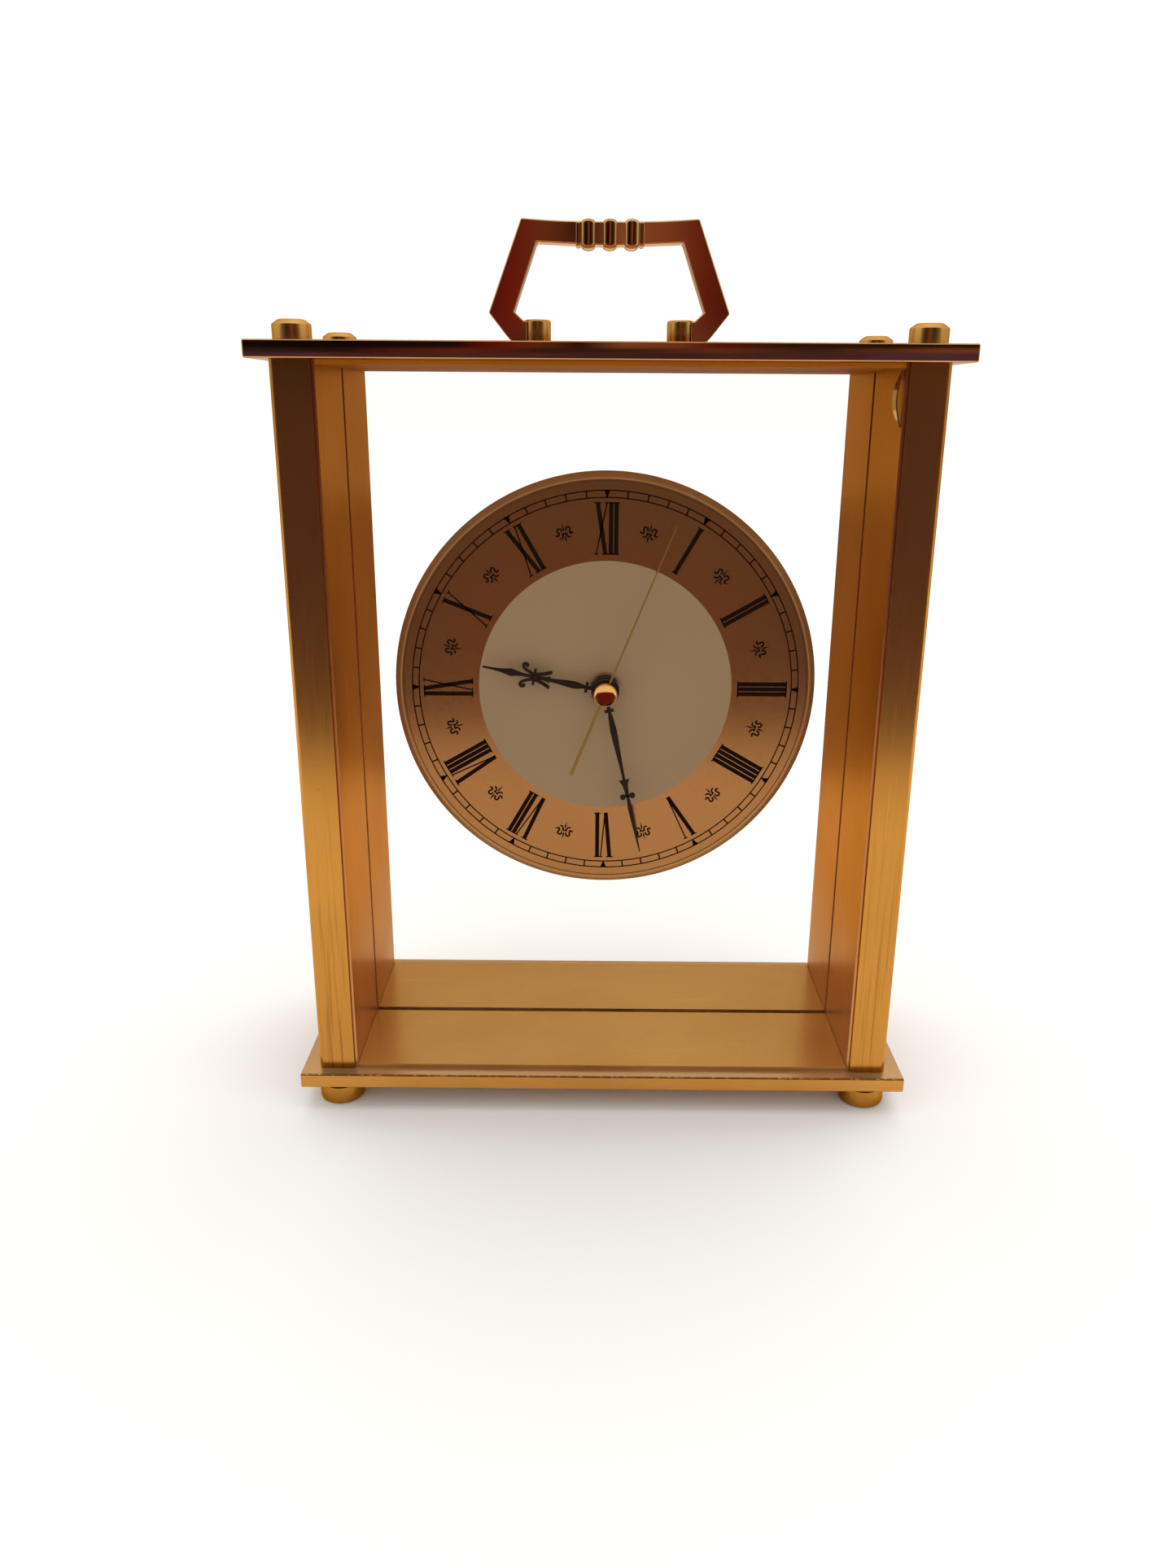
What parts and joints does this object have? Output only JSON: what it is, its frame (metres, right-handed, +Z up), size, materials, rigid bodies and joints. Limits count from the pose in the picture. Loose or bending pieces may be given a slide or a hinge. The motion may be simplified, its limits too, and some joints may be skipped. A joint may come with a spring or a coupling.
{
  "type": "mantel clock",
  "caption": "Brass mantel clock: four-post case with a bail handle, a round dial with hands on a clear pane, and a drum-cased quartz movement behind it.",
  "frame": {"origin": "middle of the footprint, on the surface that the feet stand on", "axes": "+Z up, +Y from the dial towards the back, +X to the right seen from the front"},
  "size_m": [0.165, 0.07, 0.2283],
  "materials": {
    "polished_brass": "polished, lacquered, warm reflections",
    "brushed_brass": "satin, brushed along its length",
    "gold_brass": "polished gold-coloured",
    "dial_gold": "satin gold band round a cream centre, black print",
    "steel": "bright zinc plate",
    "glass": "clear sheet",
    "hand_black": "satin black lacquer",
    "white_plastic": "moulded, slightly glossy",
    "black_plastic": "moulded, matt",
    "battery_can": "plain wrapped cell, no label",
    "copper_wire": "enamelled wire",
    "circuit_green": "solder mask"
  },
  "bodies": {
    "case": {"top_plate": "polished_brass", "handle": "polished_brass", "base_plate": "brushed_brass", "post_front_left": "brushed_brass", "post_front_right": "brushed_brass", "post_rear_left": "brushed_brass", "post_rear_right": "brushed_brass", "side_panel_left": "brushed_brass", "side_panel_right": "brushed_brass", "floor_panel_front": "brushed_brass", "floor_panel_rear": "brushed_brass", "ceiling_panel_front": "brushed_brass", "ceiling_panel_rear": "brushed_brass", "foot_front_left": "gold_brass", "foot_front_right": "gold_brass", "foot_rear_left": "gold_brass", "foot_rear_right": "gold_brass", "cap_knob_front_left": "gold_brass", "cap_knob_front_right": "gold_brass", "cap_knob_rear_left": "gold_brass", "cap_knob_rear_right": "gold_brass", "leaf_spring_right": "gold_brass", "bezel_ring": "gold_brass", "movement_drum": "gold_brass", "tie_rod_front_left": "steel", "tie_rod_front_right": "steel", "tie_rod_rear_left": "steel", "tie_rod_rear_right": "steel", "handle_screw_left": "steel", "handle_screw_right": "steel", "dial_nut": "steel", "pillar_1": "steel", "pillar_2": "steel", "pillar_3": "steel", "battery_contact_positive": "steel", "battery_contact_negative": "steel", "stator": "steel", "coil_core": "steel", "quartz_crystal": "steel", "glass_pane": "glass", "dial_plate": "dial_gold", "movement_mid_plate": "white_plastic", "movement_front_case": "black_plastic", "movement_rear_plate": "black_plastic", "battery": "battery_can", "coil": "copper_wire", "circuit_board": "circuit_green"},
    "hour_hand_body": {"hour_wheel": "white_plastic", "hour_hand": "hand_black"},
    "minute_hand_body": {"centre_wheel": "gold_brass", "minute_hand": "hand_black"},
    "second_hand_body": {"seconds_wheel": "white_plastic", "second_hand": "gold_brass", "hand_cap": "gold_brass"},
    "third_wheel_body": {"third_wheel": "white_plastic"},
    "minute_wheel_body": {"minute_wheel": "white_plastic"},
    "fifth_wheel_body": {"fifth_wheel": "white_plastic"},
    "rotor_body": {"rotor": "black_plastic"},
    "setting_knob_body": {"setting_knob": "black_plastic"},
    "battery_door_body": {"battery_door": "gold_brass"}
  },
  "joints": [
    {"name": "second_turn", "type": "hinge", "parent": "case", "child": "second_hand_body", "pos_m": [0, -0.0108, 0.1124], "axis": [0, 1, 0], "continuous": true},
    {"name": "minute_turn", "type": "hinge", "parent": "case", "child": "minute_hand_body", "pos_m": [0, -0.0093, 0.1124], "axis": [0, 1, 0], "continuous": true},
    {"name": "hour_turn", "type": "hinge", "parent": "case", "child": "hour_hand_body", "pos_m": [0, -0.0073, 0.1124], "axis": [0, 1, 0], "continuous": true},
    {"name": "third_wheel_turn", "type": "hinge", "parent": "case", "child": "third_wheel_body", "pos_m": [-0.01169, 0.0114, 0.11915], "axis": [0, 1, 0], "continuous": true},
    {"name": "minute_wheel_turn", "type": "hinge", "parent": "case", "child": "minute_wheel_body", "pos_m": [0, 0.0055, 0.1012], "axis": [0, 1, 0], "continuous": true},
    {"name": "fifth_wheel_turn", "type": "hinge", "parent": "case", "child": "fifth_wheel_body", "pos_m": [0.01212, 0.0154, 0.1194], "axis": [0, 1, 0], "continuous": true},
    {"name": "rotor_turn", "type": "hinge", "parent": "case", "child": "rotor_body", "pos_m": [0.01386, 0.0174, 0.12925], "axis": [0, 1, 0], "continuous": true},
    {"name": "setting_knob_turn", "type": "hinge", "parent": "case", "child": "setting_knob_body", "pos_m": [0.0112, 0.0253, 0.1012], "axis": [0, 1, 0], "continuous": true},
    {"name": "battery_door_slide", "type": "slide", "parent": "case", "child": "battery_door_body", "axis": [1, 0, 0], "range_m": [0, 0.016]}
  ],
  "couplings": [
    {"joint": "hour_turn", "follows": "minute_turn", "ratio": 0.083333},
    {"joint": "second_turn", "follows": "minute_turn", "ratio": 60},
    {"joint": "third_wheel_turn", "follows": "minute_turn", "ratio": -8},
    {"joint": "minute_wheel_turn", "follows": "minute_turn", "ratio": -0.33333},
    {"joint": "fifth_wheel_turn", "follows": "minute_turn", "ratio": -360},
    {"joint": "rotor_turn", "follows": "minute_turn", "ratio": 1800},
    {"joint": "setting_knob_turn", "follows": "minute_turn", "ratio": 1}
  ]
}
